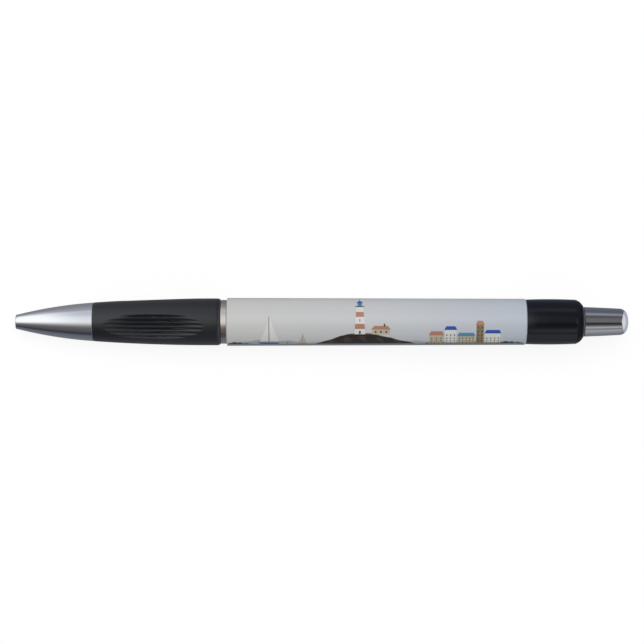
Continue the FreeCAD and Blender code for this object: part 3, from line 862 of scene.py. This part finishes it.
def makeSpring():
    front, back = reach("return_spring")
    wire, turns, ended = spring["wireRadius"], spring["turns"], spring["endTurns"]
    closing = 2 * wire * spring["endPitch"]
    free = back - front - 2 * wire - 2 * ended * closing
    rows = []
    for index in range(round((turns + 2 * ended) * spring["turnSteps"]) + 1):
        wound = index / spring["turnSteps"]
        closed = min(wound, ended) + max(wound - turns - ended, 0)
        station = front + wire + closed * closing + free * min(max((wound - ended) / turns, 0), 1)
        ring = []
        for side in range(spring["wireSides"]):
            turn = 2 * math.pi * side / spring["wireSides"]
            radius = spring["radius"] + wire * math.sin(turn)
            ring.append(place(station + wire * math.cos(turn), 360 * wound, radius))
        rows.append(ring)
    form = bmesh.new()
    capped(form, rows)
    materials = [springMetal]
    piece = finishPiece("returnSpring", form, "pen_body", "return_spring", materials, 50)
    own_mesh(piece)


makeSpring()

# Clip: a flat arm under the collar with a root block, a foot in the collar's slot and a nib at its
# free end. Its outer face lies on the table.
clip = {
    "reach": 9.0,
    "wide": 5.2,
    "endWide": 3.6,
    "thick": 1.6,
    "rootLength": 7.2,
    "footLength": 5.4,
    "footWide": 3.2,
    "footDepth": 4.45,
    "footOverlap": 0.05,
    "rootDepth": 5.4,
    "seatRadius": 5.24,
    "rootEdge": 0.45,
    "filletLength": 1.2,
    "filletRadius": 1.6,
    "nibLength": 3.2,
    "nibGap": 0.3,
    "nibRamp": 1.0,
    "nibCrown": 0.15,
    "tipLift": 0.6,
    "tipEdge": 0.4,
    "tipLength": 1.3,
    "tipRadius": 1.7,
    "tipFlat": 0.72,
    "soft": 0.28,
}


def arcBetween(start, stop, radius, side, count):  # the arc's centre lies to the left for side 1
    return bowed(start, stop, -side * riseOf(radius, math.dist(start, stop)), count)


def makeClip():
    front, back = reach("clip")
    slope = along.z / along.x
    root = back - clip["rootLength"]
    nib = front + clip["nibLength"]
    nibHeight = -barrelRadius(nib) - clip["nibGap"]

    def face(station):  # height of the face that lies on the table
        return (back - station) * slope - clip["reach"]

    fillet = (root - clip["filletLength"], face(root) + clip["thick"])
    crest = (front + clip["nibLength"] / 2, nibHeight)
    tip = (front, nibHeight - clip["tipLift"])
    low = (front, face(front) + clip["tipEdge"])
    onTable = (front + clip["tipEdge"], face(front + clip["tipEdge"]))
    rampEnd = (nib, nibHeight - clip["nibCrown"])
    heel = (back - clip["rootEdge"], face(back - clip["rootEdge"]))
    outline = [
        heel,
        *arcBetween(heel, (back, face(back) + clip["rootEdge"]), clip["rootEdge"], 1, 6)[1:],
        (back, -clip["rootDepth"]),
        (root, -clip["rootDepth"]),
        *arcBetween((root, -clip["rootDepth"]), fillet, clip["filletRadius"], -1, 8)[1:],
        (nib + clip["nibRamp"], face(nib) + clip["thick"]),
        rampEnd,
        *arcBetween(rampEnd, crest, clip["nibLength"], 1, 6)[1:],
        *arcBetween(crest, tip, clip["nibLength"], 1, 10)[1:],
        low,
        *arcBetween(low, onTable, clip["tipEdge"], 1, 6)[1:],
        *[(at, face(at)) for at in front + clip["tipLength"] * np.array([0.55, 0.8, 1])],
        (root, face(root)),
    ]
    tipAt = front + clip["tipLength"]
    tipStart, tipStop = (tipAt, clip["endWide"] / 2), (front, clip["tipFlat"])
    tipStations, tipWidths = zip(*sorted(arcBetween(tipStart, tipStop, clip["tipRadius"], 1, 16)))

    def halfWidth(station):
        if station >= root:
            return clip["wide"] / 2
        if station > tipAt:
            share = (station - tipAt) / (root - tipAt)
            return (clip["endWide"] + (clip["wide"] - clip["endWide"]) * share) / 2
        return float(np.interp(station, tipStations, tipWidths))

    form = bmesh.new()
    rims = []
    for hand in (-1, 1):
        rims.append([form.verts.new(inPen(at, hand * halfWidth(at), height)) for at, height in outline])
    for index in range(len(outline)):
        after = (index + 1) % len(outline)
        form.faces.new((rims[0][index], rims[0][after], rims[1][after], rims[1][index]))
    edges = []
    for rim in rims:
        edges += list(form.faces.new(rim).edges)
    bmesh.ops.recalc_face_normals(form, faces=form.faces)
    rounding = {"offset": clip["soft"] * mm, "segments": 3, "profile": 0.5, "affect": "EDGES"}
    bmesh.ops.bevel(form, geom=edges, clamp_overlap=True, **rounding)
    # the root's top is hollowed to sit round the collar
    half, below = clip["wide"] / 2 - clip["soft"], -clip["rootDepth"] - clip["soft"]
    wide = np.linspace(-half, half, 17)
    seat = [(aside, -math.sqrt(clip["seatRadius"] ** 2 - aside**2)) for aside in wide]
    seat += [(half, below), (-half, below)]
    ends = (root + clip["soft"], back - clip["soft"])
    capped(form, [[inPen(at, aside, height) for aside, height in seat] for at in ends])
    foot = back - (clip["rootLength"] - clip["footLength"]) / 2
    heights = (-clip["footDepth"], -(clip["rootDepth"] + clip["footOverlap"]))
    block(form, foot, foot - clip["footLength"], clip["footWide"], heights)
    finishPiece("pocketClip", form, "pen_body", "clip", [clipAbs], 35)


makeClip()

# Front core: the tube under the rubber, a neck in the cone and a thread in the centre bush.
core = {
    "neckRadius": 2.85,
    "neckEdge": 0.15,
    "radius": 3.5,
    "edge": 0.1,
    "boreRadius": 2.35,
    "threadLength": 8.4,
    "threadRunIn": 0.2,
    "threadFade": 0.6,
    "threadPitch": 1.2,
    "threadDepth": 0.28,
    "threadRows": 112,
    "columns": 96,
}
coreFront, coreBack = reach("front_core")
cutFrom = coreBack - core["threadLength"]


def threadRadius(station, angle):  # a rounded trapezoid thread that fades in from its start
    share = (station / core["threadPitch"] - angle / 360) % 1
    cut = min(max(0.5 - 0.95 * math.cos(2 * math.pi * share), 0), 1)
    fade = min(max((station - cutFrom) / core["threadFade"], 0), 1)
    return core["radius"] - core["threadDepth"] * cut * fade


def makeCore():
    threaded = np.linspace(cutFrom - core["threadRunIn"], coreBack, core["threadRows"] + 1)
    outline = [
        (coreFront, core["boreRadius"]),
        (coreFront, core["neckRadius"] - core["neckEdge"]),
        (coreFront + core["neckEdge"], core["neckRadius"]),
        (noseBack, core["neckRadius"]),
        (noseBack, core["radius"] - core["edge"]),
        (noseBack + core["edge"], core["radius"]),
        *[(station, threadRadius) for station in threaded],
        (coreBack, core["boreRadius"]),
    ]
    form = turned(outline, core["columns"])
    finishPiece("frontCore", form, "pen_body", "front_core", [coreAbs], 40)


makeCore()

# Refill tube: extruded plastic, crimped to four ears that the spring pushes on.
tube = {
    "radius": 1.5,
    "boreRadius": 1.05,
    "earRadius": 2.05,
    "earWidth": 0.8,
    "earSide": 4.0,
    "earGap": 0.05,
    "earLength": 0.9,
    "earFade": 0.7,
    "earRows": (-0.4, 0.0, 0.03, 0.3),
    "columns": 96,
}
springBack = reach("return_spring")[1]


def smooth(share):  # 0 to 1 with soft ends
    share = min(max(share, 0), 1)
    return 3 * share**2 - 2 * share**3


def makeTube():
    front, back = reach("refill_tube")
    bore = tube["boreRadius"]
    earAt = springBack + tube["earGap"]
    fadeAt = earAt + tube["earLength"]
    half = math.degrees(tube["earWidth"] / 2 / tube["earRadius"])

    def radiusAt(station, angle):
        off = abs((angle + 45) % 90 - 45)
        wide = smooth((half + tube["earSide"] - off) / tube["earSide"])
        long = smooth(1 - (station - fadeAt) / tube["earFade"]) if station > earAt else 0
        return tube["radius"] + (tube["earRadius"] - tube["radius"]) * wide * long

    stations = [front, *[earAt + row for row in tube["earRows"]]]
    stations += [fadeAt + tube["earFade"] * step / 8 for step in range(9)] + [back]
    outline = [(front, bore), *[(station, radiusAt) for station in stations], (back, bore)]
    form = turned(outline, tube["columns"])
    finishPiece("refillTube", form, "refill", "refill_tube", [refillPlastic], 45)


makeTube()

# Ink: it clings to the tube's wall, so its rear face is a hollow meniscus.
ink = {"gap": 0.03, "hollow": 0.45, "hollowSteps": 8, "columns": 48}


def makeInk():
    front, back = reach("ink_column")
    radius = tube["boreRadius"] - ink["gap"]
    outline = [(front, 0), (front, radius)]
    for step in range(ink["hollowSteps"], -1, -1):
        share = step / ink["hollowSteps"]
        outline.append((back - ink["hollow"] * math.cos(math.pi / 2 * share), radius * share))
    form = turned(outline, ink["columns"], closed=False)
    finishPiece("inkColumn", form, "refill", "ink_column", [inkFill], 50)


makeInk()

# Writing point: turned from the bar, its rim rolled over the ball, with a flange against the tube.
point = {
    "socketRadius": 0.55,
    "socketSteps": 12,
    "ballSetback": 0.5,
    "rimWall": 0.12,
    "rimEdge": 0.06,
    "coneLength": 3.0,
    "coneEdge": 0.3,
    "shoulderLength": 0.5,
    "shoulderDrop": 0.11,
    "radius": 1.12,
    "flangeRadius": 1.5,
    "flangeLength": 0.5,
    "flangeFrontEdge": 0.1,
    "flangeBackEdge": 0.06,
    "shankRadius": 1.02,
    "shankLength": 3.6,
    "shankEdge": 0.15,
    "channelRadius": 0.3,
    "columns": 96,
}


def makePoint():
    front, back = reach("writing_point")
    hollow = point["socketRadius"]
    ballAt = reach("ball")[0] + point["ballSetback"]
    rim = math.sqrt(hollow**2 - (ballAt - front) ** 2)
    flangeBack = back - point["shankLength"]
    flangeFront = flangeBack - point["flangeLength"]
    coneBack = front + point["coneLength"]
    turnTo = math.asin(point["channelRadius"] / hollow)
    turnFrom = math.atan2(rim, front - ballAt)
    socket = []
    for step in range(point["socketSteps"] + 1):
        turn = turnTo + (turnFrom - turnTo) * step / point["socketSteps"]
        socket.append((ballAt + hollow * math.cos(turn), hollow * math.sin(turn)))
    outline = [
        (back, point["channelRadius"]),
        *socket,
        (front, rim + point["rimWall"], point["rimEdge"]),
        (coneBack - point["shoulderLength"], point["radius"] - point["shoulderDrop"]),
        (coneBack, point["radius"], point["coneEdge"]),
        (flangeFront, point["radius"]),
        (flangeFront, point["flangeRadius"], point["flangeFrontEdge"]),
        (flangeBack, point["flangeRadius"], point["flangeBackEdge"]),
        (flangeBack, point["shankRadius"]),
        (back, point["shankRadius"], point["shankEdge"]),
    ]
    form = turned(softened(outline), point["columns"])
    finishPiece("writingPoint", form, "refill", "writing_point", [pointMetal], 30)


makePoint()


# Writing ball: ground tungsten carbide, closed in by its socket.
def makeBall():
    front, back = reach("ball")
    radius, steps = (back - front) / 2, 32
    outline = []
    for step in range(steps + 1):
        turn = math.pi * step / steps
        outline.append((front + radius - radius * math.cos(turn), radius * abs(math.sin(turn))))
    form = turned(outline, 2 * steps, closed=False)
    finishPiece("writingBall", form, "writing_ball", "ball", [ballMetal], 60)


makeBall()

for node in ("cam_guide", "plunger", "rotor"):
    frame["nodes"][node].data.materials.clear()
    frame["nodes"][node].data.materials.append(camAcetal)

# Studio: white surroundings, a plain pale floor and one broad soft lamp over the far side.
studio = {
    "floorSize": 4.0,
    "floorColour": "#f2f2f2",
    "floorGlow": 1.04,
    "glowShare": 0.84,
    "skyLevel": 0.4,
    "stripLevel": 1.3,
    "tailZone": (-0.035, 0.0),
    "boxZone": (-0.28, -0.52),
    "endZone": (0.26, 0.42),
    "endNarrowing": -0.35,
    "endStops": [(0.3, "#a9adb4"), (0.48, "#b8bcc2"), (0.6, "#d6dae0"), (1.0, "#d6dae0")],
    "lampLevel": 0.65,
    "lampTilt": -16.0,
    "lampDistance": 1.2,
    "lampSize": 0.9,
    "flagInner": 3.65,
    "flagOuter": 8.6,
    "flagGap": 0.35,
    "flagColour": "#8d9198",
    "cameraStation": 69.93,
    "cameraAside": -0.04,
    "cameraDistance": 0.524,
    "lens": 128.15,
    "sensorWidth": 36.0,
    "clipStart": 0.01,
}


# 1 for what the camera sees by itself or through the refill's clear plastic, and 0 for other rays.
def seenDirectly(tree):
    rays = addNode(tree, "LightPath").outputs
    direct = {0: rays["Is Camera Ray"], 1: rays["Is Transmission Ray"]}
    return addNode(tree, "Math", direct, operation="MAXIMUM")


def makeFloor():
    form = bmesh.new()
    bmesh.ops.create_grid(form, x_segments=1, y_segments=1, size=studio["floorSize"] / 2)
    floor = newObject("floor", form)
    material = bpy.data.materials.new("palePaperFloor")
    tree = emptyTree(material)
    paper = addNode(tree, "BsdfDiffuse", {"Color": linear(studio["floorColour"])})
    glow = addNode(tree, "Emission", {"Color": white, "Strength": studio["floorGlow"]})
    share = {0: seenDirectly(tree), 1: studio["glowShare"]}
    shown = {0: addNode(tree, "Math", share, operation="MULTIPLY"), 1: paper, 2: glow}
    addNode(tree, "OutputMaterial", {"Surface": addNode(tree, "MixShader", shown)})
    floor.data.materials.append(material)
    floor.visible_glossy = False


# What polished metal sees round it, by the angle from straight up towards the near side: soft
# boxes and dark flags, one set for the nose end and one for the button end.
noseSide = [
    (-180, "#7a7b81"), (-120, "#7e7f85"), (-80, "#9a9ca2"), (-68, "#bcbfc4"), (-48, "#babdc4"),
    (-28, "#d5d8de"), (-3, "#e2e2df"), (9, "#cfcfcc"), (26, "#858481"), (40, "#5e5d5f"),
    (62, "#4e4d53"), (72, "#3c3e45"), (84, "#383a42"), (98, "#5e6268"), (180, "#7a7b81"),
]
# A broad soft box ahead of the nose, as the share of white it adds.
tipBox = [(-110, "#000000"), (-62, "#ffffff"), (-6, "#ffffff"), (14, "#000000")]
buttonSide = [
    (-180, "#70757c"), (-110, "#5c6068"), (-84, "#585c67"), (-70, "#787c83"), (-62, "#92969c"),
    (-52, "#6a6d71"), (-42, "#4e4e52"), (-20, "#6b6967"), (2, "#696764"), (11, "#2c2a29"),
    (20, "#333133"), (33, "#676668"), (48, "#aeaeb0"), (60, "#6f6e6e"), (73, "#a09f9f"),
    (86, "#969697"), (115, "#75767a"), (180, "#70757c"),
]


def makeWorld():
    world = bpy.data.worlds.new("studioWorld")
    bpy.context.scene.world = world
    tree = emptyTree(world)
    parts = addNode(tree, "SeparateXYZ", {0: addNode(tree, "TexCoord").outputs["Generated"]}).outputs
    flipped = addNode(tree, "Math", {0: parts["Y"], 1: -1.0}, operation="MULTIPLY")
    turn = addNode(tree, "Math", {0: flipped, 1: parts["Z"]}, operation="ARCTAN2")
    share = addNode(tree, "MapRange", {"Value": turn, "From Min": -math.pi, "From Max": math.pi})
    height = addNode(tree, "MapRange", {"Value": parts["Z"], "From Min": -1.0})
    ramps = []
    for stops in (noseSide, buttonSide, tipBox):
        ramps.append(addNode(tree, "ValToRGB", {0: share}))
        fillRamp(ramps[-1], [((angle + 180) / 360, hexColour) for angle, hexColour in stops])
    noseTone, buttonTone, boxTone = ramps
    endTone = addNode(tree, "ValToRGB", {0: height})
    fillRamp(endTone, studio["endStops"])
    aside = addNode(tree, "Math", {0: parts["Y"]}, operation="ABSOLUTE")
    narrowing = {0: aside, 1: studio["endNarrowing"], 2: parts["X"]}
    narrowed = addNode(tree, "Math", narrowing, operation="MULTIPLY_ADD")
    zones = []
    for value, name in ((parts["X"], "tailZone"), (parts["X"], "boxZone"), (narrowed, "endZone")):
        start, full = studio[name]
        zone = {"Value": value, "From Min": start, "From Max": full}
        zones.append(addNode(tree, "MapRange", zone, interpolation_type="SMOOTHSTEP"))
    tail, ahead, end = zones
    box = addNode(tree, "Math", {0: ahead, 1: boxTone}, operation="MULTIPLY")
    nose = addNode(tree, "MixRGB", {0: box, 1: noseTone, 2: white})
    strips = addNode(tree, "MixRGB", {0: tail, 1: nose, 2: buttonTone})
    tone = addNode(tree, "MixRGB", {0: end, 1: strips, 2: endTone})
    plain = addNode(tree, "Background", {"Color": white, "Strength": studio["skyLevel"]})
    strip = addNode(tree, "Background", {"Color": tone, "Strength": studio["stripLevel"]})
    backdrop = addNode(tree, "Background", {"Color": white, "Strength": 1.0})
    glossy = addNode(tree, "LightPath").outputs["Is Glossy Ray"]
    lit = addNode(tree, "MixShader", {0: glossy, 1: plain, 2: strip})
    shown = addNode(tree, "MixShader", {0: seenDirectly(tree), 1: lit, 2: backdrop})
    addNode(tree, "OutputWorld", {"Surface": shown})


def makeLamp():
    target = place(studio["cameraStation"], 0, 0)
    tilt = math.radians(studio["lampTilt"])
    toLamp = up * math.cos(tilt) - across * math.sin(tilt)
    light = bpy.data.lights.new("softLamp", "AREA")
    light.shape = "SQUARE"
    light.size = studio["lampSize"]
    light.energy = studio["lampLevel"] * (math.pi * studio["lampDistance"]) ** 2
    lamp = bpy.data.objects.new("softLamp", light)
    lamp.location = target + toLamp * studio["lampDistance"]
    lamp.rotation_mode = "QUATERNION"
    lamp.rotation_quaternion = toLamp.to_track_quat("Z", "Y")
    lamp.visible_glossy = False
    lamp.visible_camera = False
    bpy.context.collection.objects.link(lamp)


# A grey flag round the button's root: only reflections see it, and it keeps the collar's shoulder
# as dark as its side.
def makeFlag():
    station = collarBack + studio["flagGap"]
    outline = [(station, studio["flagInner"]), (station, studio["flagOuter"])]
    flag = newObject("greyFlag", turned(outline, 72, closed=False))
    cloth = {"Roughness": 0.9, "Specular IOR Level": 0.0}
    flag.data.materials.append(newSurface("greyFlagCloth", studio["flagColour"], cloth)[0])
    flag.visible_camera = False
    flag.visible_diffuse = False
    flag.visible_transmission = False
    flag.visible_shadow = False


def makeCamera():
    camera = bpy.data.objects.new("photoCamera", bpy.data.cameras.new("photoCamera"))
    camera.data.lens = studio["lens"]
    camera.data.sensor_width = studio["sensorWidth"]
    camera.data.clip_start = studio["clipStart"]
    spot = place(studio["cameraStation"], 0, 0) + up * studio["cameraDistance"]
    spot += across * (studio["cameraAside"] * mm)
    camera.matrix_world = Matrix.Translation(spot) @ penFrame.to_4x4()
    bpy.context.collection.objects.link(camera)
    bpy.context.scene.camera = camera


makeFloor()
makeWorld()
makeLamp()
makeFlag()
makeCamera()
bpy.context.scene.view_settings.view_transform = "Standard"
print("studio made")
